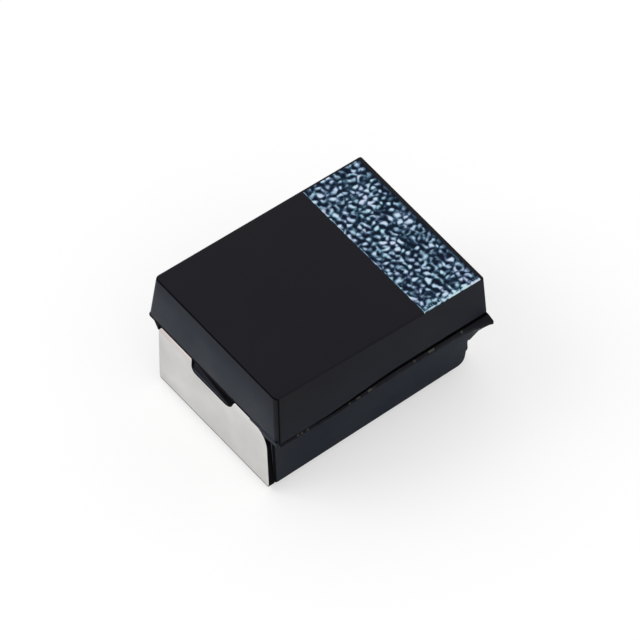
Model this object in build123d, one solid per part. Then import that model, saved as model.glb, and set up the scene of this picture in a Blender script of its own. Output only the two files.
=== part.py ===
from build123d import *
import os

# Moulded tantalum chip capacitor, B case size (3528-21 metric).
# Millimetres. X runs along the length, cathode end at -X and anode end at +X,
# Z is up and z = 0 is the plane of the solder pads.

# Case: the size of the moulded body
CASE_LENGTH = 3.50
CASE_WIDTH = 2.80
CASE_HEIGHT = 1.985
PARTING_Z = 1.225
STANDOFF = 0.11
CORNER_RADIUS = 0.06
LOWER_CORNER_RADIUS = 0.10
TOP_EDGE_RADIUS = 0.04
BOTTOM_EDGE_RADIUS = 0.08

# Case: how far the walls lean in, and how far the lower half stands back
UPPER_FOOT_END_INSET = 0.005
UPPER_FOOT_SIDE_INSET = 0.025
UPPER_END_DRAFT = 0.038
UPPER_SIDE_DRAFT = 0.07
LOWER_END_INSET = 0.07
LOWER_SIDE_INSET = 0.15
LOWER_END_DRAFT = 0.12
LOWER_SIDE_DRAFT = 0.08

# Parting lip: the thin rim of flash that the mould leaves where its halves meet
LIP_THICKNESS = 0.06
LIP_SIDE_WIDTH = 0.04

# Terminals: strip folded out of the end, down the end face and under the case
STRIP_THICKNESS = 0.10
CATHODE_STRIP_WIDTH = 2.31
ANODE_STRIP_WIDTH = 1.86
STRIP_FACE_SETBACK = 0.01
PAD_NARROWING = 0.13
PAD_SHOULDER = 0.06
BEND_INNER_RADIUS = 0.05
PAD_LENGTH = 0.80
NOTCH_WIDTH = 0.88
NOTCH_BOTTOM_Z = 0.90
NOTCH_RADIUS = 0.13
NOTCH_REACH = 0.30
LEG_CLEARANCE = 0.01
PAD_CLEARANCE = 0.02
GATE_CLEARANCE = 0.02
GATE_HEIGHT = 0.20
GATE_FACE_SETBACK = 0.03
GATE_RADIUS = 0.03

# Inner ends of the strips
PADDLE_WIDTH = 1.50
PADDLE_LENGTH = 1.10
RISER_CLEARANCE = 0.03
ANODE_TONGUE_WIDTH = 1.00
TONGUE_CLEARANCE = 0.08
WIRE_END_CLEARANCE = 0.04

# Tantalum element: sintered pellet, its coats, wire, washer and glue
ELEMENT_BACK_CLEARANCE = 0.535
PELLET_FRONT_CLEARANCE = 0.97
PELLET_SIDE_CLEARANCE = 0.52
PELLET_HEIGHT = 0.96
PELLET_CHAMFER = 0.08
ELEMENT_Z = 1.04
OXIDE_COAT = 0.04
CARBON_COAT = 0.02
SILVER_COAT = 0.035
COAT_STEP = 0.12
WIRE_DIAMETER = 0.24
WIRE_EMBEDDED = 1.10
WASHER_DIAMETER = 0.62
WASHER_THICKNESS = 0.08
ADHESIVE_THICKNESS = 0.04
ADHESIVE_MARGIN = 0.08
WELD_LENGTH = 0.14
WELD_WIDTH = 0.20
WELD_HEIGHT = 0.07
WELD_UNDER_WIRE = 0.015

# Polarity band: marked field on the top, beside the anode end
BAND_DEPTH = 0.02
BAND_LENGTH = 0.89
BAND_END_MARGIN = 0.10
BAND_SIDE_MARGIN = 0.05

# Places that follow from the sizes above
STRIP_FACE_X = CASE_LENGTH / 2 - STRIP_FACE_SETBACK
STRIP_TOP_Z = PARTING_Z - LIP_THICKNESS
EXIT_Z = STRIP_TOP_Z - STRIP_THICKNESS / 2
LEG_X = STRIP_FACE_X - STRIP_THICKNESS / 2
PAD_INNER_X = STRIP_FACE_X - PAD_LENGTH
BEND_RADIUS = BEND_INNER_RADIUS + STRIP_THICKNESS / 2
COAT_TOTAL = OXIDE_COAT + CARBON_COAT + SILVER_COAT
PELLET_FRONT_X = CASE_LENGTH / 2 - PELLET_FRONT_CLEARANCE
ELEMENT_BACK_X = ELEMENT_BACK_CLEARANCE - CASE_LENGTH / 2
PELLET_LENGTH = PELLET_FRONT_X - ELEMENT_BACK_X - COAT_TOTAL
PELLET_WIDTH = CASE_WIDTH - 2 * PELLET_SIDE_CLEARANCE
ELEMENT_BOTTOM_Z = ELEMENT_Z - PELLET_HEIGHT / 2 - COAT_TOTAL
PADDLE_TOP_Z = ELEMENT_BOTTOM_Z - ADHESIVE_THICKNESS
RISER_X = ELEMENT_BACK_X - RISER_CLEARANCE - STRIP_THICKNESS / 2
WASHER_X = PELLET_FRONT_X + OXIDE_COAT
WIRE_BOTTOM_Z = ELEMENT_Z - WIRE_DIAMETER / 2
TONGUE_X = WASHER_X + WASHER_THICKNESS + TONGUE_CLEARANCE
JOG_X = (TONGUE_X + LEG_X) / 2
WIRE_END_X = JOG_X - STRIP_THICKNESS / 2 - WIRE_END_CLEARANCE
TOP_LENGTH = CASE_LENGTH - 2 * (UPPER_FOOT_END_INSET + UPPER_END_DRAFT)
TOP_WIDTH = CASE_WIDTH - 2 * (UPPER_FOOT_SIDE_INSET + UPPER_SIDE_DRAFT)
BAND_X = TOP_LENGTH / 2 - BAND_END_MARGIN - BAND_LENGTH / 2


def tapered_block(bottom_z, bottom_size, top_z, top_size, radius):
    # A moulded half: a rounded rectangle that leans in with height
    lower = Plane.XY.offset(bottom_z) * RectangleRounded(*bottom_size, radius)
    upper = Plane.XY.offset(top_z) * RectangleRounded(*top_size, radius)
    return loft([lower.face(), upper.face()])


def block(x_range, y_range, z_range):
    # A box given by its two ends on each axis
    centre = [(a + b) / 2 for a, b in (x_range, y_range, z_range)]
    size = [b - a for a, b in (x_range, y_range, z_range)]
    return Pos(*centre) * Box(*size)


def folded_strip(points, width):
    # Sheet strip that follows a centre line in the XZ plane with round bends
    corners = [(x, 0, z) for x, z in points]
    path = FilletPolyline(*corners, radius=BEND_RADIUS)
    section = Plane(origin=path @ 0, x_dir=(0, 1, 0), z_dir=path % 0)
    return sweep(section * Rectangle(width, STRIP_THICKNESS), path=path)


def shoulder_cuts(side, width):
    # The strip is narrower from the lower bend to the end of the pad
    shoulder_x = STRIP_FACE_X - PAD_SHOULDER
    cut_x = sorted((side * shoulder_x, side * (PAD_INNER_X - STRIP_THICKNESS)))
    top_z = STRIP_THICKNESS + BEND_INNER_RADIUS / 2
    near_y = width / 2 - PAD_NARROWING
    return [
        block(cut_x, (-width, -near_y), (-STRIP_THICKNESS, top_z)),
        block(cut_x, (near_y, width), (-STRIP_THICKNESS, top_z)),
    ]


def leg_points(side):
    # The part that both terminals share: out of the case, down and under
    return [
        (side * LEG_X, EXIT_Z),
        (side * LEG_X, STRIP_THICKNESS / 2),
        (side * PAD_INNER_X, STRIP_THICKNESS / 2),
    ]


def notch_slot(side):
    # Slot in the strip: from the notch in the leg, over the bend, into the case
    slot_height = 2 * (STRIP_TOP_Z - NOTCH_BOTTOM_Z)
    outline = Plane.YZ * Pos(0, NOTCH_BOTTOM_Z + slot_height / 2)
    slot = extrude(outline * RectangleRounded(NOTCH_WIDTH, slot_height, NOTCH_RADIUS), NOTCH_REACH)
    start = STRIP_FACE_X + LEG_CLEARANCE - NOTCH_REACH
    return Pos(start if side > 0 else -start - NOTCH_REACH, 0, 0) * slot


def pellet_block(length, width, height, front_x, chamfer_size):
    # Pressed pellet shape, or a coat round it, with its front face at front_x
    body = Pos(front_x - length / 2, 0, ELEMENT_Z) * Box(length, width, height)
    return chamfer(body.edges(), chamfer_size)


# Cathode terminal: leg and pad outside, riser and paddle under the element inside
paddle_end_x = RISER_X + PADDLE_LENGTH
cathode_points = [
    (paddle_end_x, PADDLE_TOP_Z - STRIP_THICKNESS / 2),
    (RISER_X, PADDLE_TOP_Z - STRIP_THICKNESS / 2),
    (RISER_X, EXIT_Z),
] + leg_points(-1)
cathode_terminal = folded_strip(cathode_points, CATHODE_STRIP_WIDTH)
cathode_terminal -= notch_slot(-1)
cathode_terminal -= shoulder_cuts(-1, CATHODE_STRIP_WIDTH)
paddle_x = (RISER_X - STRIP_THICKNESS, paddle_end_x + STRIP_THICKNESS)
paddle_z = (PADDLE_TOP_Z - 2 * STRIP_THICKNESS, STRIP_TOP_Z + STRIP_THICKNESS)
for side in (-1, 1):
    edges_y = sorted((side * PADDLE_WIDTH / 2, side * CATHODE_STRIP_WIDTH))
    cathode_terminal -= block(paddle_x, edges_y, paddle_z)

# Anode terminal: the same leg and pad, with a tongue inside that carries the wire
tongue_top_z = WIRE_BOTTOM_Z - WELD_UNDER_WIRE
tongue_z = tongue_top_z - STRIP_THICKNESS / 2
anode_points = [(TONGUE_X, tongue_z), (JOG_X, tongue_z), (JOG_X, EXIT_Z)] + leg_points(1)
anode_terminal = folded_strip(anode_points, ANODE_STRIP_WIDTH)
anode_terminal -= notch_slot(1)
anode_terminal -= shoulder_cuts(1, ANODE_STRIP_WIDTH)
tongue_x = (TONGUE_X - STRIP_THICKNESS, JOG_X + STRIP_THICKNESS)
tongue_range_z = (tongue_z - STRIP_THICKNESS, STRIP_TOP_Z + STRIP_THICKNESS)
for side in (-1, 1):
    edges_y = sorted((side * ANODE_TONGUE_WIDTH / 2, side * ANODE_STRIP_WIDTH))
    anode_terminal -= block(tongue_x, edges_y, tongue_range_z)

# Tantalum pellet with the wire pressed into its front face
wire_start_x = PELLET_FRONT_X - WIRE_EMBEDDED
wire_length = WIRE_END_X - wire_start_x
wire_place = Pos(wire_start_x + wire_length / 2, 0, ELEMENT_Z) * Rot(0, 90, 0)
anode_wire = wire_place * Cylinder(WIRE_DIAMETER / 2, wire_length)
pellet_solid = pellet_block(
    PELLET_LENGTH, PELLET_WIDTH, PELLET_HEIGHT, PELLET_FRONT_X, PELLET_CHAMFER
)
tantalum_pellet = pellet_solid - anode_wire

# Manganese dioxide all round the pellet, then carbon and silver short of the front
oxide_solid = pellet_block(
    PELLET_LENGTH + 2 * OXIDE_COAT,
    PELLET_WIDTH + 2 * OXIDE_COAT,
    PELLET_HEIGHT + 2 * OXIDE_COAT,
    PELLET_FRONT_X + OXIDE_COAT,
    PELLET_CHAMFER,
)
carbon_solid = pellet_block(
    PELLET_LENGTH + OXIDE_COAT + CARBON_COAT - COAT_STEP,
    PELLET_WIDTH + 2 * (OXIDE_COAT + CARBON_COAT),
    PELLET_HEIGHT + 2 * (OXIDE_COAT + CARBON_COAT),
    PELLET_FRONT_X - COAT_STEP,
    PELLET_CHAMFER,
)
silver_solid = pellet_block(
    PELLET_LENGTH + COAT_TOTAL - 2 * COAT_STEP,
    PELLET_WIDTH + 2 * COAT_TOTAL,
    PELLET_HEIGHT + 2 * COAT_TOTAL,
    PELLET_FRONT_X - 2 * COAT_STEP,
    PELLET_CHAMFER,
)
manganese_dioxide_coat = oxide_solid - pellet_solid - anode_wire
carbon_coat = carbon_solid - oxide_solid
silver_coat = silver_solid - carbon_solid - oxide_solid

# Washer pushed over the wire against the coated front face
washer_place = Pos(WASHER_X + WASHER_THICKNESS / 2, 0, ELEMENT_Z) * Rot(0, 90, 0)
wire_washer = washer_place * Cylinder(WASHER_DIAMETER / 2, WASHER_THICKNESS)
wire_washer -= anode_wire

# Silver adhesive between the paddle and the flat underside of the element
flat_start_x = ELEMENT_BACK_X + PELLET_CHAMFER
adhesive_x = (flat_start_x, paddle_end_x - ADHESIVE_MARGIN)
adhesive_half_width = PADDLE_WIDTH / 2 - ADHESIVE_MARGIN
adhesive_y = (-adhesive_half_width, adhesive_half_width)
silver_adhesive = block(adhesive_x, adhesive_y, (PADDLE_TOP_Z, ELEMENT_BOTTOM_Z))

# Weld that joins the wire to the tongue
weld_x = (TONGUE_X + WIRE_END_X - WELD_LENGTH) / 2
wire_weld = block(
    (weld_x, weld_x + WELD_LENGTH),
    (-WELD_WIDTH / 2, WELD_WIDTH / 2),
    (tongue_top_z, tongue_top_z + WELD_HEIGHT),
)
wire_weld -= anode_wire

# Case, upper half, with its top edges rounded
foot_size = (
    CASE_LENGTH - 2 * UPPER_FOOT_END_INSET,
    CASE_WIDTH - 2 * UPPER_FOOT_SIDE_INSET,
)
top_size = (TOP_LENGTH, TOP_WIDTH)
upper_half = tapered_block(PARTING_Z, foot_size, CASE_HEIGHT, top_size, CORNER_RADIUS)
top_edges = upper_half.faces().sort_by(Axis.Z)[-1].edges()
upper_half = fillet(top_edges, TOP_EDGE_RADIUS)

# Case, parting lip and lower half, with its bottom edges rounded
lip_outline = RectangleRounded(CASE_LENGTH, CASE_WIDTH + 2 * LIP_SIDE_WIDTH, CORNER_RADIUS)
lip = extrude(Plane.XY.offset(STRIP_TOP_Z) * lip_outline, LIP_THICKNESS)
lower_top = (CASE_LENGTH - 2 * LOWER_END_INSET, CASE_WIDTH - 2 * LOWER_SIDE_INSET)
lower_bottom = (lower_top[0] - 2 * LOWER_END_DRAFT, lower_top[1] - 2 * LOWER_SIDE_DRAFT)
lower_half = tapered_block(
    STANDOFF, lower_bottom, STRIP_TOP_Z, lower_top, LOWER_CORNER_RADIUS
)
bottom_edges = lower_half.faces().sort_by(Axis.Z)[0].edges()
lower_half = fillet(bottom_edges, BOTTOM_EDGE_RADIUS)

# Pockets in the lower half for the legs and the pads of both terminals
pocket_floor_x = STRIP_FACE_X - STRIP_THICKNESS - LEG_CLEARANCE
pad_pocket_x = PAD_INNER_X - PAD_CLEARANCE
pad_pocket_z = STRIP_THICKNESS + PAD_CLEARANCE
island_y = NOTCH_WIDTH / 2 - GATE_CLEARANCE
island_z = NOTCH_BOTTOM_Z + GATE_CLEARANCE
for side, strip_width in ((-1, CATHODE_STRIP_WIDTH), (1, ANODE_STRIP_WIDTH)):
    pocket_half_width = strip_width / 2 + LEG_CLEARANCE
    pocket_y = (-pocket_half_width, pocket_half_width)
    leg_x = sorted((side * pocket_floor_x, side * CASE_LENGTH))
    leg_pocket = block(leg_x, pocket_y, (0, STRIP_TOP_Z))
    leg_pocket -= block(leg_x, (-island_y, island_y), (island_z, STRIP_TOP_Z))
    pad_x = sorted((side * pad_pocket_x, side * CASE_LENGTH))
    lower_half -= leg_pocket
    lower_half -= block(pad_x, pocket_y, (0, pad_pocket_z))

# Gate stub: what is left of the mould gate, inside the notch of the cathode leg
gate_face_x = STRIP_FACE_X - GATE_FACE_SETBACK
gate_stub = block(
    (-gate_face_x, -pocket_floor_x),
    (-island_y, island_y),
    (island_z, island_z + GATE_HEIGHT),
)
gate_stub = fillet(gate_stub.faces().sort_by(Axis.X)[0].edges(), GATE_RADIUS)

# Case moulded round the element and the inner ends of the strips
case = upper_half + lip + lower_half + gate_stub
band_y = TOP_WIDTH / 2 - BAND_SIDE_MARGIN
polarity_band = block(
    (BAND_X - BAND_LENGTH / 2, BAND_X + BAND_LENGTH / 2),
    (-band_y, band_y),
    (CASE_HEIGHT - BAND_DEPTH, CASE_HEIGHT),
)
inside = [
    cathode_terminal,
    anode_terminal,
    tantalum_pellet,
    anode_wire,
    manganese_dioxide_coat,
    carbon_coat,
    silver_coat,
    wire_washer,
    silver_adhesive,
    wire_weld,
    polarity_band,
]
for piece in inside:
    case -= piece

# One file for each piece
os.makedirs("parts", exist_ok=True)
nodes = {
    "case": case,
    "polarity_band": polarity_band,
    "cathode_terminal": cathode_terminal,
    "anode_terminal": anode_terminal,
    "tantalum_pellet": tantalum_pellet,
    "anode_wire": anode_wire,
    "wire_washer": wire_washer,
    "manganese_dioxide_coat": manganese_dioxide_coat,
    "carbon_coat": carbon_coat,
    "silver_coat": silver_coat,
    "silver_adhesive": silver_adhesive,
    "wire_weld": wire_weld,
}
for name, shape in nodes.items():
    print(name, len(shape.solids()), "solid", round(shape.volume, 4), "mm3")
    export_step(shape, f"parts/{name}.step")
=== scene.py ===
import bpy
import bmesh
import math
import random
from mathutils import Matrix, Vector, noise


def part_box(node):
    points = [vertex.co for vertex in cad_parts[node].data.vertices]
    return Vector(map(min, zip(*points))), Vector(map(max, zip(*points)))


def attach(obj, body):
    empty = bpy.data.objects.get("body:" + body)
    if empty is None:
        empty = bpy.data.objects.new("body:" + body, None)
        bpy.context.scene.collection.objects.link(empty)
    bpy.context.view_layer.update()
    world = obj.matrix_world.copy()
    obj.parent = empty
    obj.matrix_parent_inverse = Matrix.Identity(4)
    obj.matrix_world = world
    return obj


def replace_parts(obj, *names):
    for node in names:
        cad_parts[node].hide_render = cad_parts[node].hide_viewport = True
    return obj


# Moulded tantalum chip capacitor: two folded strips, a moulded case, a marked band.
# Sizes are in millimetres until make_piece turns a mesh into metres. The near side is
# -Y, and the cathode end is at -X.
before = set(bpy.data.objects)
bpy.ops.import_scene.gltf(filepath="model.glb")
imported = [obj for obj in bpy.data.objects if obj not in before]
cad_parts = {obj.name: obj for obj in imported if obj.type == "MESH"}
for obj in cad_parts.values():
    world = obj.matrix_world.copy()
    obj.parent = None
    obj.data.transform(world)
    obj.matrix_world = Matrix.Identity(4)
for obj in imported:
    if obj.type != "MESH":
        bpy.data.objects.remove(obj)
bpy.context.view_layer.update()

# Terminals. Two strips of plated nickel-iron sheet, welded and glued to the element,
# then folded down the end faces and under the case. The plating is matt tin, with a painted warm
# reflection on the upper bend and painted shade on the lower bend; the sheared edges, cut after
# it was put on, are bare metal painted near black as shade.
MM = 0.001
strip_thickness = 0.10
bend_inner_radius = 0.02
bend_steps = 8
strip_edge_radius = 0.015
pad_length = 0.80
weld_distance = 0.0005
flat_within = math.radians(0.5)
past_part = 2
strip_low, strip_high = [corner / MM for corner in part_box("cathode_terminal")]
tongue_low, tongue_high = [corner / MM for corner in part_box("anode_terminal")]
strip_face_x = -strip_low[0]
strip_top_z = strip_high[2]
leg_x = strip_face_x - strip_thickness / 2
exit_z = strip_top_z - strip_thickness / 2
pad_z = strip_thickness / 2
pad_end_x = strip_face_x - pad_length


def make_piece(name, bm, materials, sharp_angle=35):
    # A finished piece: its mesh in metres at the origin, smooth but for sharp edges
    bmesh.ops.recalc_face_normals(bm, faces=bm.faces)
    for face in bm.faces:
        face.smooth = True
    for edge in bm.edges:
        edge.smooth = edge.is_boundary or edge.calc_face_angle(0) < math.radians(sharp_angle)
    bmesh.ops.scale(bm, vec=(MM, MM, MM), verts=bm.verts)
    mesh = bpy.data.meshes.new(name)
    bm.to_mesh(mesh)
    bm.free()
    for material in materials:
        mesh.materials.append(material)
    piece = bpy.data.objects.new(name, mesh)
    bpy.context.scene.collection.objects.link(piece)
    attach(piece, "root")
    return piece


def cut(bm, cutter, operation="DIFFERENCE"):
    # A boolean of two closed bmesh solids, done by a modifier on loose objects
    solids = []
    for solid in (bm, cutter):
        bmesh.ops.recalc_face_normals(solid, faces=solid.faces)
        mesh = bpy.data.meshes.new("cut")
        solid.to_mesh(mesh)
        solids.append(bpy.data.objects.new("cut", mesh))
        bpy.context.scene.collection.objects.link(solids[-1])
        solid.free()
    tool = solids[0].modifiers.new("cut", "BOOLEAN")
    tool.object, tool.operation, tool.solver = solids[1], operation, "EXACT"
    done = solids[0].evaluated_get(bpy.context.evaluated_depsgraph_get())
    result = bmesh.new()
    result.from_mesh(done.to_mesh())
    for solid in solids:
        bpy.data.objects.remove(solid)
    bmesh.ops.remove_doubles(result, verts=result.verts, dist=weld_distance)
    bmesh.ops.dissolve_limit(
        result, angle_limit=flat_within, verts=result.verts, edges=result.edges
    )
    return result


def round_edges(bm, edges, radius, segments):
    # Bevel with a round profile
    bmesh.ops.bevel(
        bm, geom=list(edges), offset=radius, segments=segments, profile=0.5,
        affect="EDGES", material=-1, clamp_overlap=True,
    )


def sharp_edges(bm, angle=50):
    # Edges whose faces meet at more than the angle, in degrees
    return [edge for edge in bm.edges if edge.calc_face_angle(0) > math.radians(angle)]


def edges_along(bm, axis, test, parallel=0.99):
    # Edges that run along one axis and whose middle passes a test
    found = []
    for edge in bm.edges:
        run = (edge.verts[0].co - edge.verts[1].co).normalized()
        if abs(run[axis]) > parallel and test((edge.verts[0].co + edge.verts[1].co) / 2):
            found.append(edge)
    return found


def box_solid(low, high):
    # A closed box between two corners
    bm = bmesh.new()
    bmesh.ops.create_cube(bm, size=1)
    centre = (Vector(low) + Vector(high)) / 2
    bmesh.ops.scale(bm, vec=Vector(high) - Vector(low), verts=bm.verts)
    bmesh.ops.translate(bm, vec=centre, verts=bm.verts)
    return bm


def folded_strip(half_width, corners):
    # The strip's section, pushed along each run and spun round each square bend
    bend_radius = bend_inner_radius + strip_thickness / 2
    corners = [Vector((x, 0, z)) for x, z in corners]
    heading = (corners[1] - corners[0]).normalized()
    across = Vector((0, half_width, 0))
    through = heading.cross(Vector((0, 1, 0))) * strip_thickness / 2
    bm = bmesh.new()
    section = [-across - through, across - through, across + through, -across + through]
    face = bm.faces.new([bm.verts.new(corners[0] + point) for point in section])
    for number in range(1, len(corners)):
        last = number == len(corners) - 1
        run = corners[number] - corners[number - 1]
        length = run.length - bend_radius * ((number > 1) + (not last))
        new = bmesh.ops.extrude_face_region(bm, geom=[face])["geom"]
        moved = [item for item in new if isinstance(item, bmesh.types.BMVert)]
        bmesh.ops.translate(bm, vec=run.normalized() * length, verts=moved)
        face = [item for item in new if isinstance(item, bmesh.types.BMFace)][0]
        if not last:
            turn = (corners[number + 1] - corners[number]).normalized()
            new = bmesh.ops.spin(
                bm, geom=[face], axis=run.normalized().cross(turn), steps=bend_steps,
                cent=corners[number] + (turn - run.normalized()) * bend_radius,
                angle=math.radians(90),
            )["geom_last"]
            face = [item for item in new if isinstance(item, bmesh.types.BMFace)][0]
    buried = [f for f in bm.faces if all(len(e.link_faces) > 2 for e in f.edges)]
    bmesh.ops.delete(bm, geom=buried, context="FACES")
    bmesh.ops.remove_doubles(bm, verts=bm.verts, dist=weld_distance)
    return bm


# The notch, with its corner radii by side: -1 is near and 1 is far
notch_y = (-0.43, 0.466)
notch_bottom_z = 0.91
notch_middle_z = 1
notch_radii = {-1: 0.20, 1: 0.09}


def notch_block(x_low, x_high, top_z, clearance):
    # The shape of the slot in the blank: a tight corner on the far side, a slow one near
    block = box_solid(
        (x_low, notch_y[0] + clearance, notch_bottom_z + clearance),
        (x_high, notch_y[1] - clearance, top_z),
    )
    for side, radius in notch_radii.items():
        corner = edges_along(block, 0, lambda c: c.z < notch_middle_z and c.y * side > 0)
        round_edges(block, corner, radius - clearance, segments=8)
    return block


# The blank's outline, the slot with its flared mouth, the pad and the inner end
blank_margins = (0.001, 0.004)
leg_middle_z = 0.5
neck_radii = {-1: 0.29, 1: 0.15}
foot_radius = 0.17
lean_out = 0.035
near_top_drop = 0.030
far_spread = 0.020
slot_x = (-strip_face_x - 0.1, -strip_face_x + 0.31)
slot_top_z = strip_top_z + 0.02
slot_cuts = 10
flare_start_z = 1.06
notch_flare = 0.10
shoulder_x = -strip_face_x + 0.10
pad_narrowing = 0.13
pad_top_z = strip_thickness + bend_inner_radius / 2
under_pad_z = -1
inner_start_x = -strip_face_x + 0.33


def trim_strip(strip, half_width, inner_half_width, inner_z):
    # Give the strip the blank's outline, then the slot, the narrower pad and inner end
    blank = box_solid(
        (-past_part, -half_width, -blank_margins[0]),
        (past_part, half_width + far_spread, strip_top_z + blank_margins[1]),
    )
    for side, radius in neck_radii.items():
        corner = edges_along(blank, 0, lambda c: c.z > leg_middle_z and c.y * side > 0)
        round_edges(blank, corner, radius, segments=8)
        corner = edges_along(blank, 0, lambda c: c.z < 0 and c.y * side > 0)
        round_edges(blank, corner, foot_radius, segments=6)
    for vert in blank.verts:
        if vert.co.z < leg_middle_z and vert.co.y < 0:
            vert.co.y -= lean_out
        if vert.co.z > leg_middle_z and vert.co.y < 0:
            vert.co.z -= near_top_drop
    strip = cut(strip, blank, "INTERSECT")
    slot = notch_block(slot_x[0], slot_x[1], slot_top_z, 0)
    slot_sides = edges_along(slot, 2, lambda c: c.z > notch_middle_z)
    bmesh.ops.subdivide_edges(slot, edges=slot_sides, cuts=slot_cuts, use_grid_fill=True)
    for vert in slot.verts:
        flared = max(0, (vert.co.z - flare_start_z) / (strip_top_z - flare_start_z))
        vert.co.y += math.copysign(notch_flare * flared ** 2, vert.co.y)
    strip = cut(strip, slot)
    for side in (-1, 1):
        pad_y = sorted((side * (half_width - pad_narrowing), side * past_part))
        inner_y = sorted((side * inner_half_width, side * past_part))
        strip = cut(strip, box_solid(
            (shoulder_x, pad_y[0], under_pad_z), (0, pad_y[1], pad_top_z)
        ))
        strip = cut(strip, box_solid(
            (inner_start_x, inner_y[0], inner_z), (past_part, inner_y[1], past_part)
        ))
    return strip


# How large a part of a face's normal has to be for the face to look that way
mostly, partly, barely = 0.7, 0.4, 0.05
slot_floor_z = notch_bottom_z - 0.02
fold_low_z = 0.95


def sheared(face):
    # A face across the sheet's thickness, where the press has cut it
    centre, normal = face.calc_center_median(), face.normal
    on_pad = centre.z < strip_thickness and abs(centre.x) < leg_x
    on_leg = abs(centre.x) > leg_x - strip_thickness / 2
    side_edge = normal.y < -mostly or normal.y > partly
    top_edge = normal.z > mostly and centre.z > slot_floor_z and on_leg
    return side_edge or top_edge or abs(normal.x) > mostly and on_pad


def on_fold(face):
    # The far part of the upper bend, which gets a painted warm reflection
    centre = face.calc_center_median()
    in_bend = centre.z > fold_low_z and abs(centre.x) > leg_x
    return in_bend and face.normal.z > barely and centre.y > 0


def on_foot(face):
    # The lower bend, which gets painted shade
    centre = face.calc_center_median()
    in_bend = centre.z < strip_thickness + bend_inner_radius and abs(centre.x) > leg_x
    return in_bend and face.normal.z < -barely


def grain_group():
    # Fine grain shared by every finish: a mottled colour, its mask and a bumpy normal
    group = bpy.data.node_groups.new("fine_grain", "ShaderNodeTree")
    sockets = [
        ("Dark", "INPUT", "NodeSocketColor"), ("Light", "INPUT", "NodeSocketColor"),
        ("Mottle Scale", "INPUT", "NodeSocketFloat"), ("Grain Scale", "INPUT", "NodeSocketFloat"),
        ("Grain Depth", "INPUT", "NodeSocketFloat"), ("Colour", "OUTPUT", "NodeSocketColor"),
        ("Mask", "OUTPUT", "NodeSocketFloat"), ("Normal", "OUTPUT", "NodeSocketVector"),
    ]
    for name, in_out, kind in sockets:
        group.interface.new_socket(name=name, in_out=in_out, socket_type=kind)
    nodes, links = group.nodes, group.links
    given, result = nodes.new("NodeGroupInput"), nodes.new("NodeGroupOutput")
    place = nodes.new("ShaderNodeTexCoord")
    mottle, grain = nodes.new("ShaderNodeTexNoise"), nodes.new("ShaderNodeTexNoise")
    mottle.inputs["Detail"].default_value = 5
    grain.inputs["Detail"].default_value = 3
    links.new(place.outputs["Object"], mottle.inputs["Vector"])
    links.new(place.outputs["Object"], grain.inputs["Vector"])
    links.new(given.outputs["Mottle Scale"], mottle.inputs["Scale"])
    links.new(given.outputs["Grain Scale"], grain.inputs["Scale"])
    spread = nodes.new("ShaderNodeMapRange")
    spread.inputs["From Min"].default_value = 0.3
    spread.inputs["From Max"].default_value = 0.7
    links.new(mottle.outputs["Fac"], spread.inputs["Value"])
    tone = nodes.new("ShaderNodeMix")
    tone.data_type = "RGBA"
    links.new(spread.outputs["Result"], tone.inputs["Factor"])
    links.new(given.outputs["Dark"], tone.inputs["A"])
    links.new(given.outputs["Light"], tone.inputs["B"])
    bump = nodes.new("ShaderNodeBump")
    bump.inputs["Strength"].default_value = 1.0
    links.new(given.outputs["Grain Depth"], bump.inputs["Distance"])
    links.new(grain.outputs["Fac"], bump.inputs["Height"])
    links.new(tone.outputs["Result"], result.inputs["Colour"])
    links.new(spread.outputs["Result"], result.inputs["Mask"])
    links.new(bump.outputs["Normal"], result.inputs["Normal"])
    return group


fine_grain = grain_group()


def grained_finish(name, dark, light, scales, depth, metallic, roughness):
    # A material on the shared grain, with its roughness between two values
    material = bpy.data.materials.new(name)
    material.use_nodes = True
    nodes, links = material.node_tree.nodes, material.node_tree.links
    shader = nodes["Principled BSDF"]
    shader.inputs["Metallic"].default_value = metallic
    grain = nodes.new("ShaderNodeGroup")
    grain.name = "Grain"
    grain.node_tree = fine_grain
    grain.inputs["Dark"].default_value = (*dark, 1)
    grain.inputs["Light"].default_value = (*light, 1)
    grain.inputs["Mottle Scale"].default_value = scales[0]
    grain.inputs["Grain Scale"].default_value = scales[1]
    grain.inputs["Grain Depth"].default_value = depth
    gloss = nodes.new("ShaderNodeMapRange")
    gloss.inputs["To Min"].default_value = roughness[0]
    gloss.inputs["To Max"].default_value = roughness[1]
    links.new(grain.outputs["Colour"], shader.inputs["Base Color"])
    links.new(grain.outputs["Mask"], gloss.inputs["Value"])
    links.new(gloss.outputs["Result"], shader.inputs["Roughness"])
    links.new(grain.outputs["Normal"], shader.inputs["Normal"])
    return material


matt_tin = grained_finish(
    "matt_tin", (0.72, 0.70, 0.68), (0.92, 0.915, 0.90), (1000, 30000), 6e-7, 1.0, (0.30, 0.40)
)
# Warm tin on the upper bend: a painted warm reflection
tin_painted_warm_reflection = grained_finish(
    "tin_painted_warm_reflection", (0.78, 0.69, 0.66), (0.86, 0.80, 0.77), (2500, 20000), 1e-6, 1.0, (0.35, 0.45)
)
# Dark tin on the lower bend's underside: painted contact shade
tin_painted_shade = grained_finish(
    "tin_painted_shade", (0.34, 0.335, 0.325), (0.46, 0.455, 0.445), (2500, 20000), 1e-6, 1.0,
    (0.40, 0.55)
)
# Cut edges: bare metal, painted near black as the shade in the gaps beside the strips and in the
# slot
bare_edge_painted_shade = grained_finish(
    "bare_edge_painted_shade", (0.002, 0.002, 0.003), (0.005, 0.005, 0.006), (6000, 40000), 1e-6, 0.0,
    (0.5, 0.7)
)
bare_edge_painted_shade.node_tree.nodes["Principled BSDF"].inputs["Specular IOR Level"].default_value = 0.02
plating = [matt_tin, bare_edge_painted_shade, tin_painted_warm_reflection, tin_painted_shade]

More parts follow.
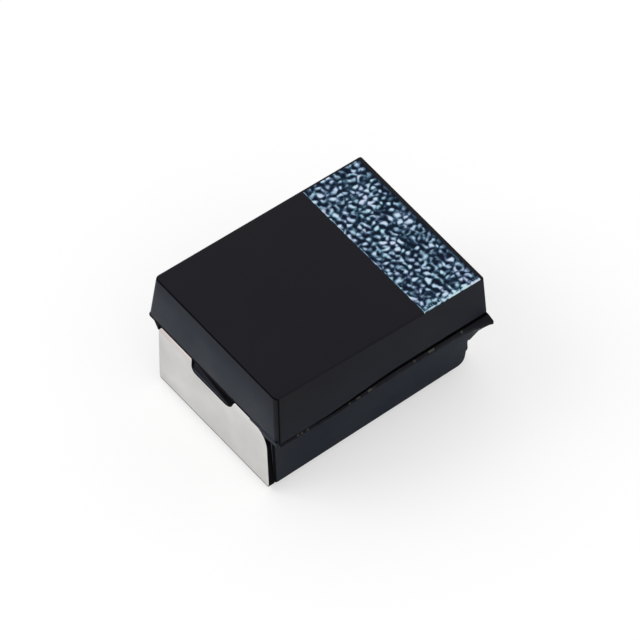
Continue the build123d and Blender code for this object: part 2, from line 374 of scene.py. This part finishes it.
# The inner ends: the cathode's paddle under the element, the anode's tongue at its wire
paddle_half_width = 0.75
paddle_length = 1.10
paddle_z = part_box("silver_adhesive")[0][2] / MM - strip_thickness / 2
paddle_end_x = strip_high[0]
riser_x = paddle_end_x - paddle_length
tongue_half_width = 0.50
tongue_z, tongue_under_z = 0.855, 0.7
jog_x = 1.335
for node, side in (("cathode_terminal", -1), ("anode_terminal", 1)):
    leg = [(-leg_x, exit_z), (-leg_x, pad_z), (-pad_end_x, pad_z)]
    if side < 0:
        half_width, inner_half_width = strip_high[1], paddle_half_width
        inner_end = [(paddle_end_x, paddle_z), (riser_x, paddle_z), (riser_x, exit_z)]
        inner_z = paddle_z - strip_thickness
    else:
        half_width, inner_half_width = tongue_high[1], tongue_half_width
        inner_end = [(-tongue_low[0], tongue_z), (-jog_x, tongue_z), (-jog_x, exit_z)]
        inner_z = tongue_under_z
    strip = folded_strip(half_width + 2 * lean_out, inner_end + leg)
    strip = trim_strip(strip, half_width, inner_half_width, inner_z)
    if side < 0:
        cathode_shape = strip.copy()
    else:
        bmesh.ops.scale(strip, vec=(-1, 1, 1), verts=strip.verts)
        bmesh.ops.reverse_faces(strip, faces=strip.faces)
    bmesh.ops.recalc_face_normals(strip, faces=strip.faces)
    round_edges(strip, sharp_edges(strip), strip_edge_radius, segments=3)
    strip.normal_update()
    for face in strip.faces:
        face.material_index = (
            1 if sheared(face) else 2 if on_fold(face) else 3 if on_foot(face) else 0
        )
    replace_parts(make_piece(node + "_strip", strip, plating), node)

# Element. The sintered tantalum pellet with its coats, wire, washer, glue and weld
# sits sealed in the case. The CAD solids stay and get the finish of each material.
inner_finishes = {
    "tantalum_pellet": ((0.16, 0.16, 0.18), 0.9, 0.6),
    "anode_wire": ((0.40, 0.41, 0.44), 1.0, 0.3),
    "wire_washer": ((0.82, 0.82, 0.80), 0.0, 0.35),
    "manganese_dioxide_coat": ((0.03, 0.028, 0.027), 0.0, 0.7),
    "carbon_coat": ((0.015, 0.015, 0.016), 0.0, 0.6),
    "silver_coat": ((0.58, 0.58, 0.57), 0.9, 0.5),
    "silver_adhesive": ((0.52, 0.52, 0.50), 0.8, 0.6),
    "wire_weld": ((0.35, 0.35, 0.37), 1.0, 0.4),
}
darker, lighter, roughness_spread = 0.8, 1.15, 0.08
for node, (colour, metallic, roughness) in inner_finishes.items():
    finish = grained_finish(
        node + "_finish", [c * darker for c in colour], [c * lighter for c in colour],
        (9000, 26000), 4e-6, metallic,
        (roughness - roughness_spread, roughness + roughness_spread),
    )
    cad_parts[node].data.materials.clear()
    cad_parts[node].data.materials.append(finish)

# Case. One block of black filled epoxy, moulded round the element in two mould halves.
# Its upper half overhangs a little, and its ends and sides aren't quite square; the
# lower half stands back and has pockets for the strips.
case_low, case_high = [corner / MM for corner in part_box("case")]
case_bottom_z, case_top_z = case_low[2], case_high[2]
# Corners in the order far cathode, far anode, near anode, near cathode
foot_corners = [(-1.75, 1.395), (1.745, 1.395), (1.745, -1.375), (-1.746, -1.385)]
top_corners = [(-1.70, 1.31), (1.71, 1.31), (1.70, -1.33), (-1.71, -1.31)]
lower_top_corners = [(-1.67, 1.26), (1.67, 1.25), (1.65, -1.20), (-1.71, -1.235)]
lower_bottom_corners = [(-1.58, 1.20), (1.57, 1.20), (1.58, -1.115), (-1.65, -1.215)]
case_width = 2.8
top_edge_radius = 0.025
lip_thickness = 0.04
lip_tilt = 0.035
tilt_top_z = case_top_z - 0.3
rim_y, rim_drop = -1.34, 0.045


def tapered_half(low_corners, low_z, high_corners, high_z):
    # A block with drafted sides, from its four corners at two heights
    bm = box_solid((-1, -1, 0), (1, 1, 1))
    signs = [(-1, 1), (1, 1), (1, -1), (-1, -1)]
    for vert in bm.verts:
        corners, z = (high_corners, high_z) if vert.co.z > 0.5 else (low_corners, low_z)
        x, y = corners[signs.index((round(vert.co.x), round(vert.co.y)))]
        vert.co = (x, y, z)
    return bm


def upright_edges(bm, least_rise=0.03):
    # Edges that join two heights
    return [e for e in bm.edges if abs(e.verts[0].co.z - e.verts[1].co.z) > least_rise]


def rim_edges(bm, z, within=0.001):
    # Edges that lie at one height
    return [e for e in bm.edges if all(abs(v.co.z - z) < within for v in e.verts)]


def tilt_down(bm):
    # The parting line sinks a little towards the near side, and more at the rim itself
    for vert in bm.verts:
        if vert.co.z < tilt_top_z:
            vert.co.z -= lip_tilt * (0.5 - vert.co.y / case_width)
            if vert.co.y < rim_y:
                vert.co.z -= rim_drop


def darken_rounded(bm, flat=0.95, rising=0.2, lengthwise=0.3):
    # The rounded edges get the second material, a painted shade, but not those along
    # the top's long sides
    bm.normal_update()
    for face in bm.faces:
        rounded = max(abs(part) for part in face.normal) < flat
        long_top = face.normal.z > rising and abs(face.normal.x) < lengthwise
        face.material_index = 1 if rounded and not long_top else 0


def held(value):
    # The value, held between 0 and 1
    return min(1, max(0, value))


def grown(x, start, length):
    # How far a change that starts at one place along the case has come at x, from 0 to 1
    return held((x - start) / length)


def noise_at(x, y, z):
    # Smooth noise, the same in each run
    return noise.noise(Vector((x, y, z)))


climb_start_x, climb_length = -1.0, 1.3
groove_low_z, groove_rise, groove_slope = 1.142, 0.103, 0.022
groove_narrow, groove_widening, groove_unevenness = 0.012, 0.015, 0.005
widening_start_x, widening_length = -1.2, 0.6


def groove_z(x):
    # Height of the fine dark groove over the flash: it climbs towards the anode end
    climb = grown(x, climb_start_x, climb_length)
    return groove_low_z + groove_rise * climb ** 2 * (3 - 2 * climb) + groove_slope * max(0, x)


def groove_half_width(x):
    # Half the groove's height: it widens a little and is uneven
    widened = groove_narrow + groove_widening * grown(x, widening_start_x, widening_length)
    return widened + noise_at(x * 8, 7, 0) * groove_unevenness


epoxy = grained_finish(
    "moulded_epoxy", (0.0034, 0.0032, 0.0043), (0.0052, 0.0049, 0.0064), (1300, 42000), 1.2e-6,
    0.0, (0.44, 0.56)
)
# Near-black epoxy: painted shade on rounded edges, the lip, the groove and under the lip
painted_shade_skin = grained_finish(
    "painted_shade_epoxy", (0.0015, 0.0015, 0.0020), (0.0050, 0.0050, 0.0060), (9000, 42000), 1.2e-6,
    0.0, (0.45, 0.60)
)
for finish, gloss in ((epoxy, 0.19), (painted_shade_skin, 0.02)):
    shader = finish.node_tree.nodes["Principled BSDF"]
    shader.inputs["Specular IOR Level"].default_value = gloss
    shader.inputs["Specular Tint"].default_value = (0.82, 0.82, 1.0, 1)
# Seen at a low angle, the skin gets a faint bluish painted sheen in its base colour
nodes, links = epoxy.node_tree.nodes, epoxy.node_tree.links
facing = nodes.new("ShaderNodeLayerWeight")
facing.inputs["Blend"].default_value = 0.5
low_angle = nodes.new("ShaderNodeMapRange")
low_angle.inputs["From Min"].default_value = 0.35
low_angle.inputs["From Max"].default_value = 0.62
sheen = nodes.new("ShaderNodeMix")
sheen.data_type = "RGBA"
sheen.blend_type = "ADD"
sheen.inputs["B"].default_value = (0.0011, 0.0064, 0.0140, 1)
links.new(facing.outputs["Facing"], low_angle.inputs["Value"])
links.new(low_angle.outputs["Result"], sheen.inputs["Factor"])
links.new(nodes["Grain"].outputs["Colour"], sheen.inputs["A"])
links.new(sheen.outputs["Result"], nodes["Principled BSDF"].inputs["Base Color"])

# The lower half, with a pocket for each strip's leg and pad
halves_overlap = 0.01
lower_edge_radius = 0.045
lower_end_radius = 0.13
leg_clearance = 0.005
pad_clearance = 0.02
squarely = 0.9
lower_half = tapered_half(
    lower_bottom_corners, case_bottom_z, lower_top_corners, strip_top_z + halves_overlap
)
anode_bottom = [
    e for e in rim_edges(lower_half, case_bottom_z) if min(v.co.x for v in e.verts) > 1
]
round_edges(lower_half, anode_bottom, lower_end_radius, segments=6)
lower_half.normal_update()
outer_edges = [
    e for e in lower_half.edges
    if any(abs(f.normal.y) > squarely for f in e.link_faces)
    and min(v.co.z for v in e.verts) < strip_top_z
] + [e for e in rim_edges(lower_half, case_bottom_z) if max(v.co.x for v in e.verts) < -1]
round_edges(lower_half, dict.fromkeys(outer_edges), lower_edge_radius, segments=4)
leg_pocket = (strip_face_x - strip_thickness - leg_clearance, past_part)
pad_pocket = (pad_end_x - pad_clearance, strip_thickness + pad_clearance)
for side, half_width in ((-1, strip_high[1]), (1, tongue_high[1])):
    pocket_y = (-half_width - leg_clearance, half_width + far_spread + leg_clearance)
    for depth_x, pocket_top in (leg_pocket, pad_pocket):
        pocket_x = sorted((side * depth_x, side * past_part))
        pocket = box_solid(
            (pocket_x[0], pocket_y[0], 0), (pocket_x[1], pocket_y[1], pocket_top)
        )
        for vert in pocket.verts:
            if vert.co.y < 0 and (vert.co.z < 1 or pocket_top < 1):
                vert.co.y -= lean_out
        lower_half = cut(lower_half, pocket)
darken_rounded(lower_half)
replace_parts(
    make_piece("case_lower_half", lower_half, [epoxy, painted_shade_skin]), "case"
)

# The upper half, cut back along its near foot for the groove. The wide corners at the
# cathode end keep the plain skin, without the painted shade.
lip_gap = 0.008
upper_foot_z = strip_top_z + lip_thickness + lip_gap
upper_foot_radius = 0.012
upper_corner_radius = 0.035
cathode_corner_radius = 0.075
tilt_start_y = -1.10
rebate_y, rebate_start_x, rebate_cuts = 1.31, -1.70, 60
rebate_low_z, rebate_high_z = 0.9, 1.1
end_part, level_part = -0.6, 0.25
upper_half = tapered_half(foot_corners, upper_foot_z, top_corners, case_top_z)
for side, radius in ((-1, cathode_corner_radius), (1, upper_corner_radius)):
    corners = [e for e in upright_edges(upper_half) if e.verts[0].co.x * side > 0]
    round_edges(upper_half, corners, radius, segments=6)
round_edges(upper_half, rim_edges(upper_half, case_top_z), top_edge_radius, segments=5)
round_edges(upper_half, rim_edges(upper_half, upper_foot_z), upper_foot_radius, segments=2)
bmesh.ops.bisect_plane(
    upper_half, geom=upper_half.verts[:] + upper_half.edges[:] + upper_half.faces[:],
    plane_co=(0, tilt_start_y, 0), plane_no=(0, 1, 0),
)
tilt_down(upper_half)
rebate = box_solid(
    (rebate_start_x, -past_part, rebate_low_z), (past_part, -rebate_y, rebate_high_z)
)
rebate_runs = edges_along(rebate, 0, lambda c: True)
bmesh.ops.subdivide_edges(rebate, edges=rebate_runs, cuts=rebate_cuts)
for vert in rebate.verts:
    if vert.co.z > 1:
        vert.co.z = groove_z(vert.co.x) + groove_half_width(vert.co.x)
upper_half = cut(upper_half, rebate)
darken_rounded(upper_half)
for face in upper_half.faces:
    if face.normal.x < end_part and abs(face.normal.z) < level_part:
        face.material_index = 0
make_piece("case_upper_half", upper_half, [epoxy, painted_shade_skin])

# The lip on the parting line, all in painted shade
lip_near_y = -1.33
lip_inset = 0.998
lip_edge_radius = 0.015
lip_corners = foot_corners[:2] + [(x, lip_near_y) for x, y in foot_corners[2:]]
lip = tapered_half(lip_corners, strip_top_z, lip_corners, strip_top_z + lip_thickness)
bmesh.ops.scale(lip, vec=(lip_inset, lip_inset, 1), verts=lip.verts)
round_edges(lip, upright_edges(lip), upper_corner_radius, segments=5)
round_edges(lip, rim_edges(lip, strip_top_z), lip_edge_radius, segments=3)
tilt_down(lip)
make_piece("parting_lip", lip, [painted_shade_skin])

# Small forms at the cathode end, and the middle: resin that has filled in beside the
# strip's near corner, a fillet under the lip at the far corner in painted shade, and the
# solid core that closes the seam between the halves
filler_low, filler_high = (-1.7476, -1.372, 1.03), (-1.66, -0.80, 1.185)
filler_step = 0.09
strip_allowance, strip_lift = (1.02, 1.010, 1), (0, 0, 0.014)
fillet_low, fillet_high = (-1.735, 1.18, 1.05), (-1.60, 1.30, 1.18)
fillet_foot_y = 1.20
core_low, core_high = (-1.6, -1.2, 1.0), (1.6, 1.2, 1.4)
core_radius = 0.02
filler = box_solid(filler_low, filler_high)
for vert in filler.verts:
    if vert.co.z < 1.1 and vert.co.y < -1:
        vert.co.z += filler_step
bmesh.ops.scale(cathode_shape, vec=strip_allowance, verts=cathode_shape.verts)
bmesh.ops.translate(cathode_shape, vec=strip_lift, verts=cathode_shape.verts)
make_piece("corner_filler", cut(filler, cathode_shape), [epoxy])
fillet = box_solid(fillet_low, fillet_high)
for vert in fillet.verts:
    if vert.co.z < 1.1 and vert.co.y > fillet_foot_y:
        vert.co.y = fillet_foot_y
make_piece("lip_fillet", fillet, [painted_shade_skin])
core = box_solid(core_low, core_high)
round_edges(core, core.edges[:], core_radius, segments=2)
make_piece("case_core", core, [epoxy])

# Gate stub. What is left where the epoxy was broken off the mould's runner: a rounded
# bump of the case's own epoxy in the notch of the cathode strip.
gate_setback, gate_depth, gate_top_z = 0.004, 0.30, 1.155
gate_clearance = 0.008
gate_radius = 0.022
far_slope, near_slope = 0.06, 0.13
gate = notch_block(
    -strip_face_x + gate_setback, -strip_face_x + gate_depth, gate_top_z, gate_clearance
)
for vert in gate.verts:
    if vert.co.z > 1.1 and vert.co.x < -strip_face_x + 0.1:
        vert.co.x += far_slope if vert.co.y > 0 else near_slope
round_edges(gate, sharp_edges(gate, 30), gate_radius, segments=4)
# Its upper part, under the lip, is in painted shade
shade_line, shade_slope = Vector((0, 0.466, 1.08)), Vector((0, -0.15, 1.0))
bmesh.ops.bisect_plane(
    gate, geom=gate.verts[:] + gate.edges[:] + gate.faces[:], plane_co=shade_line,
    plane_no=shade_slope,
)
for face in gate.faces:
    above = (face.calc_center_median() - shade_line).dot(shade_slope) > 0
    face.material_index = 1 if above else 0
make_piece("gate_stub", gate, [epoxy, painted_shade_skin])

# Parting flash. The uneven rim of epoxy that squeezed out between the mould halves, thin
# and partly chipped. On the near side it climbs and thickens towards the anode end, under
# a fine dark groove, and hangs down the last corner as a web.
near_wall_y, far_wall_y = 1.380, 1.385
far_top_z, far_low_z = 1.205, 1.135
near_low_z, near_low_climb = 1.085, 0.065
rim_overhang, flare_overhang = 0.014, 0.094
flare_start_x, flare_length = 1.2, 0.545
web_start_x, web_length = 1.28, 0.44
edge_drop, least_edge = 0.028, 0.012
inner_y, inner_rise = 1.28, 0.05
raggedness, nicks = 0.008, 0.007


def flash_profile(x, side):
    # Outward distance and height of each corner of the rim's section at x: from inside
    # the case over the top, round the edge and back below, where the web hangs down
    near = side < 0
    ragged = noise_at(x * 9, side * 3, 0) * raggedness
    nicked = noise_at(x * 21, side * 5, 2) * nicks
    flare = grown(x, flare_start_x, flare_length) ** 2 if near else 0
    web = grown(x, web_start_x, web_length) if near else 0
    climb = grown(x, climb_start_x, climb_length)
    wall = near_wall_y if near else far_wall_y
    outer = wall + rim_overhang + ragged + nicked + flare_overhang * flare
    top = groove_z(x) - groove_half_width(x) if near else far_top_z
    edge_z = top - edge_drop + ragged - 0.01 * web
    near_low = min(near_low_z + near_low_climb * climb + nicked, edge_z - least_edge)
    low_z = near_low if near else far_low_z
    return [
        (inner_y, top + inner_rise), (rebate_y, top + inner_rise), (rebate_y, top),
        (wall - 0.004, top),
        (outer - 0.006, edge_z + 0.004), (outer, edge_z), (outer, low_z + 0.024),
        (outer - 0.006, low_z), (outer - 0.010 - 0.08 * web, low_z - 0.002 - 0.10 * web),
        (outer - 0.020 - 0.18 * web, low_z - 0.004 - 0.26 * web),
        (1.18, low_z - 0.006 - 0.42 * web), (1.10, low_z - 0.008 - 0.58 * web),
        (1.00, low_z - 0.010 - 0.78 * web),
    ]


chipped_resin = grained_finish(
    "chipped_resin", (0.006, 0.007, 0.006), (0.052, 0.050, 0.037), (16000, 42000), 1.2e-6,
    0.0, (0.5, 0.7)
)
flash_start_x, flash_end_x, flash_steps = -1.70, 1.745, 110
rim_start_y, groove_end_y = 1.36, 1.37
last_chip_x = 1.4
for name, side in (("near_flash", -1), ("far_flash", 1)):
    flash = bmesh.new()
    face = flash.faces.new([
        flash.verts.new((flash_start_x, side * y, z))
        for y, z in flash_profile(flash_start_x, side)
    ])
    for step in range(1, flash_steps + 1):
        new = bmesh.ops.extrude_face_region(flash, geom=[face])["geom"]
        face = [item for item in new if isinstance(item, bmesh.types.BMFace)][0]
        x = flash_start_x + (flash_end_x - flash_start_x) * step / flash_steps
        for vert, (y, z) in zip(face.verts, flash_profile(x, side)):
            vert.co = (x, side * y, z)
    buried = [f for f in flash.faces if all(len(e.link_faces) > 2 for e in f.edges)]
    bmesh.ops.delete(flash, geom=buried, context="FACES")
    bmesh.ops.recalc_face_normals(flash, faces=flash.faces)
    for face in flash.faces:
        centre, slope = face.calc_center_median(), face.normal.z
        chipped_stretch = noise_at(centre.x * 4.3, 4.6, side) > 0.02
        chip = noise_at(centre.x * 19, 2.3, side) > 0
        chipped = chipped_stretch and chip and centre.x < last_chip_x
        on_rim = abs(centre.y) > rim_start_y
        in_groove = abs(centre.y) < groove_end_y and slope > 0.9
        # The groove's floor and the rim's underside get painted shade
        if in_groove or on_rim and -0.5 < slope < -0.1:
            face.material_index = 1
        elif on_rim and slope > 0.3 and chipped:
            face.material_index = 2
    make_piece(name, flash, [epoxy, painted_shade_skin, chipped_resin], 60)

# Polarity band. A field of the case's top that a laser has marked beside the anode
# end: light melted specks on a dark ground, with the laser's outline round them.
band_low, band_high = [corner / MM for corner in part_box("polarity_band")]
band_x = (band_low[0], band_high[0] + 0.035)
band_y = (-1.322, 1.268)
band_cells = (104, 290)
band_lift = 0.0015
case_near_y = -1.326
speck_height = 0.005
cells_per_mm, cell_gap, cell_weight = 11.2, 0.22, 4.0
bend_scale, bend_reach = 9, 0.022
other_bend = Vector((5, 3, 7))
ripple_count, ripple_weight = 36, 0.16
ripple_pitch = (0.080, 0.124)
patch_scale, patch_weight = 3.5, 0.7
grain_scale, grain_weight = 27, 0.5
speck_contrast, speck_threshold = 3.8, 0.21
fade_width = 0.06
chance = random.Random(12)
ripples = []
for _ in range(ripple_count):
    turn, pitch = chance.uniform(0, math.pi), chance.uniform(*ripple_pitch)
    wave = Vector((math.cos(turn), math.sin(turn), 0)) * 2 * math.pi / pitch
    ripples.append((wave, chance.uniform(0, 2 * math.pi)))


def speck_level(x, y):
    # How strongly the laser has melted the spot, from 0 to 1: bent cells, whose borders
    # stay dark, with ripples across them
    place = Vector((x, y, 0))
    spot = place * bend_scale
    bent = Vector((noise.noise(spot), noise.noise(spot + other_bend), 0))
    place = place + bent * bend_reach
    nearest, second = noise.voronoi(place * cells_per_mm)[0][:2]
    height = cell_weight * (second - nearest - cell_gap)
    swell = sum(math.cos(wave.dot(place) + phase) for wave, phase in ripples)
    height += ripple_weight * swell
    patch, grain = noise.noise(place * patch_scale), noise.noise(place * grain_scale)
    height += patch_weight * patch + grain_weight * grain
    fade = min(1, (band_x[1] - x) / fade_width)
    return fade / (1 + math.exp(speck_contrast * (speck_threshold - height)))


whole_level, break_depth, break_scale = 0.6, 1.2, 20
line_inset, line_half_width, line_strength = 0.008, 0.010, 1.5
front_inset, front_narrow, front_widening = 0.012, 0.007, 0.012
front_level, front_strength = 1.0, 1.1
tick_length, tick_strength = 0.07, 0.85
tick_rate, tick_wander, tick_from = 170, 5, 0.3


def outline_level(x, y):
    # The laser's first pass: a thin broken line at the inner edge, a bright one in front
    # that widens towards the anode end, and short ticks behind that
    broken = held(whole_level + break_depth * noise_at(x * break_scale, y * break_scale, 9))
    inner = 1 - abs(x - band_x[0] - line_inset) / line_half_width
    front_width = front_narrow + front_widening * (x - band_x[0]) / (band_x[1] - band_x[0])
    off_front = abs(y - band_y[0] - front_inset) / front_width
    front = front_strength * broken + front_level - off_front
    tick = math.sin(x * tick_rate + tick_wander * noise_at(x * 6, 0, 3)) > tick_from
    ticks = tick_strength if tick and y < band_y[0] + tick_length else 0
    return max(inner * line_strength * broken, front, ticks * broken)


band = bmesh.new()
bmesh.ops.create_grid(band, x_segments=band_cells[0], y_segments=band_cells[1], size=0.5)
speck = band.verts.layers.float.new("speck")
for vert in band.verts:
    x = band_x[0] + (band_x[1] - band_x[0]) * (vert.co.x + 0.5)
    y = band_y[0] + (band_y[1] - band_y[0]) * (vert.co.y + 0.5)
    level = held(max(speck_level(x, y), outline_level(x, y)))
    over_edge = max(0, top_edge_radius + case_near_y - y)
    drop = top_edge_radius - math.sqrt(max(0, top_edge_radius ** 2 - over_edge ** 2))
    vert[speck] = level
    vert.co = (x, y, band_high[2] + band_lift - drop + speck_height * level)
rim = bmesh.ops.extrude_edge_only(band, edges=[e for e in band.edges if e.is_boundary])["geom"]
for vert in [item for item in rim if isinstance(item, bmesh.types.BMVert)]:
    vert.co.z = band_low[2]
bmesh.ops.contextual_create(band, geom=[e for e in band.edges if e.is_boundary])

laser_mark = bpy.data.materials.new("laser_marked_epoxy")
laser_mark.use_nodes = True
nodes, links = laser_mark.node_tree.nodes, laser_mark.node_tree.links
shader = nodes["Principled BSDF"]
shader.inputs["Roughness"].default_value = 0.55
shader.inputs["Specular IOR Level"].default_value = 0.08
melted = nodes.new("ShaderNodeAttribute")
melted.attribute_name = "speck"
ramp = nodes.new("ShaderNodeValToRGB")
marks = [
    (0.00, (0.0010, 0.0050, 0.0160)), (0.07, (0.0120, 0.0320, 0.0620)),
    (0.28, (0.0460, 0.0860, 0.1360)), (0.70, (0.1700, 0.2550, 0.3450)),
    (0.92, (0.3300, 0.4550, 0.5750)), (0.98, (0.4700, 0.6100, 0.7400)),
    (1.00, (0.6800, 0.7700, 0.8500)),
]
while len(ramp.color_ramp.elements) < len(marks):
    ramp.color_ramp.elements.new(0.5)
for element, (position, colour) in zip(ramp.color_ramp.elements, marks):
    element.position = position
    element.color = (*colour, 1)
links.new(melted.outputs["Fac"], ramp.inputs["Fac"])
# A faint cast, greenish here and pinkish there
place = nodes.new("ShaderNodeTexCoord")
cast = nodes.new("ShaderNodeTexNoise")
cast.inputs["Scale"].default_value = 5000
cast.inputs["Detail"].default_value = 2
links.new(place.outputs["Object"], cast.inputs["Vector"])
cast_ramp = nodes.new("ShaderNodeValToRGB")
cast_ramp.color_ramp.elements[0].position = 0.32
cast_ramp.color_ramp.elements[0].color = (0.78, 1.0, 0.97, 1)
cast_ramp.color_ramp.elements[1].position = 0.68
cast_ramp.color_ramp.elements[1].color = (1.0, 0.88, 1.0, 1)
links.new(cast.outputs["Fac"], cast_ramp.inputs["Fac"])
tint = nodes.new("ShaderNodeMix")
tint.data_type = "RGBA"
tint.blend_type = "MULTIPLY"
tint.inputs["Factor"].default_value = 0.8
links.new(ramp.outputs["Color"], tint.inputs["A"])
links.new(cast_ramp.outputs["Color"], tint.inputs["B"])
links.new(tint.outputs["Result"], shader.inputs["Base Color"])
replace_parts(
    make_piece("polarity_band_field", band, [laser_mark]), "polarity_band"
)

# Studio. A pale floor under soft light, and a long lens at the photograph's angle.
floor_half_size = 0.6
floor_bm = bmesh.new()
bmesh.ops.create_grid(floor_bm, x_segments=1, y_segments=1, size=floor_half_size)
floor_mesh = bpy.data.meshes.new("floor")
floor_bm.to_mesh(floor_mesh)
floor_bm.free()
floor = bpy.data.objects.new("floor", floor_mesh)
bpy.context.scene.collection.objects.link(floor)
floor_material = bpy.data.materials.new("pale_floor")
floor_material.use_nodes = True
nodes, links = floor_material.node_tree.nodes, floor_material.node_tree.links
shader = nodes["Principled BSDF"]
shader.inputs["Roughness"].default_value = 0.9
shader.inputs["Specular IOR Level"].default_value = 0.0
# To the camera the floor is lifted to near white with a soft shadow; the part gets the
# light of a plain pale one
path = nodes.new("ShaderNodeLightPath")
shade = nodes.new("ShaderNodeMix")
shade.data_type = "RGBA"
shade.inputs["A"].default_value = (0.80, 0.80, 0.80, 1)
shade.inputs["B"].default_value = (0.50, 0.50, 0.50, 1)
links.new(path.outputs["Is Camera Ray"], shade.inputs["Factor"])
links.new(shade.outputs["Result"], shader.inputs["Base Color"])
lift = nodes.new("ShaderNodeMath")
lift.operation = "MULTIPLY"
lift.inputs[1].default_value = 0.53
links.new(path.outputs["Is Camera Ray"], lift.inputs[0])
links.new(lift.outputs["Value"], shader.inputs["Emission Strength"])
shader.inputs["Emission Color"].default_value = (1, 1, 1, 1)
floor_mesh.materials.append(floor_material)

world = bpy.data.worlds.new("studio")
bpy.context.scene.world = world
world.use_nodes = True
background = world.node_tree.nodes["Background"]
background.inputs["Color"].default_value = (1, 1, 1, 1)
background.inputs["Strength"].default_value = 0.80


def soft_lamp(name, place, size, power):
    # A square softbox aimed at the part
    light = bpy.data.lights.new(name, "AREA")
    light.size = size
    light.energy = power
    lamp = bpy.data.objects.new(name, light)
    lamp.location = place
    lamp.rotation_euler = (-Vector(place)).to_track_quat("-Z", "Y").to_euler()
    bpy.context.scene.collection.objects.link(lamp)


soft_lamp("key_softbox", (-0.13, 0.10, 0.15), size=0.14, power=0.14)

# The camera stands far off, and its aim puts the part's middle on the photograph's pixel
azimuth, elevation = math.radians(-37.65), math.radians(50.5)
pixels_per_mm = 76.24
lens = 500
image_width = 640
sensor_width = 36
right = Vector((math.cos(azimuth), math.sin(azimuth), 0))
back = Vector((
    math.sin(azimuth) * math.cos(elevation),
    -math.cos(azimuth) * math.cos(elevation),
    math.sin(elevation),
))
up = back.cross(right)
middle_pixel = (318.7, 327.4)
part_middle_z = 0.95
middle = Vector((0, 0, part_middle_z * MM))
shift_right = (image_width / 2 - middle_pixel[0]) / pixels_per_mm * MM
shift_up = (middle_pixel[1] - image_width / 2) / pixels_per_mm * MM
aim = middle + right * shift_right + up * shift_up
distance = lens / sensor_width * image_width / pixels_per_mm * MM
camera_data = bpy.data.cameras.new("camera")
camera_data.lens = lens
camera_data.sensor_width = sensor_width
camera_data.clip_start = 0.01
camera = bpy.data.objects.new("camera", camera_data)
camera.location = aim + back * distance
camera.rotation_euler = Matrix((right, up, back)).transposed().to_euler()
bpy.context.scene.collection.objects.link(camera)
bpy.context.scene.camera = camera
bpy.context.scene.view_settings.view_transform = "Standard"
